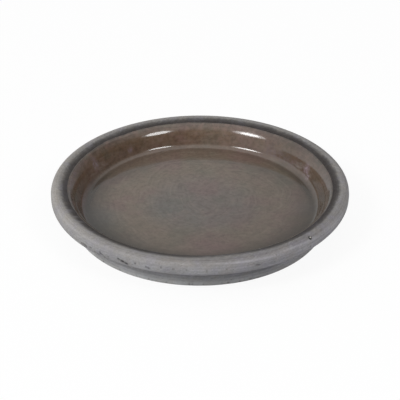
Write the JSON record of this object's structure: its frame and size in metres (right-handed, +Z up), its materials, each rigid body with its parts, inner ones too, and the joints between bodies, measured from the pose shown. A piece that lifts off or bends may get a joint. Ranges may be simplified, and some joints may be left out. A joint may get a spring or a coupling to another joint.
{
  "type": "plant saucer",
  "caption": "Round turned clay saucer that catches water under a plant pot: rolled rim over a narrower foot, raw clay outside and a brown glazed basin inside.",
  "frame": {"origin": "on the turning axis, on the plane that the foot ring stands on", "axes": "+Z up along the turning axis, out of the basin; -Y towards the side that the picture is taken from"},
  "size_m": [0.25, 0.25, 0.033],
  "materials": {
    "raw_clay": "raw fired grey clay with a pale matte bloom, darker on the bare band beside the glaze",
    "brown_glaze": "glossy translucent brown glaze with fine speckle"
  },
  "bodies": {
    "root": {"clay_body": "raw_clay", "glaze_lining": "brown_glaze", "rim_glaze_drop": "brown_glaze"}
  },
  "joints": []
}
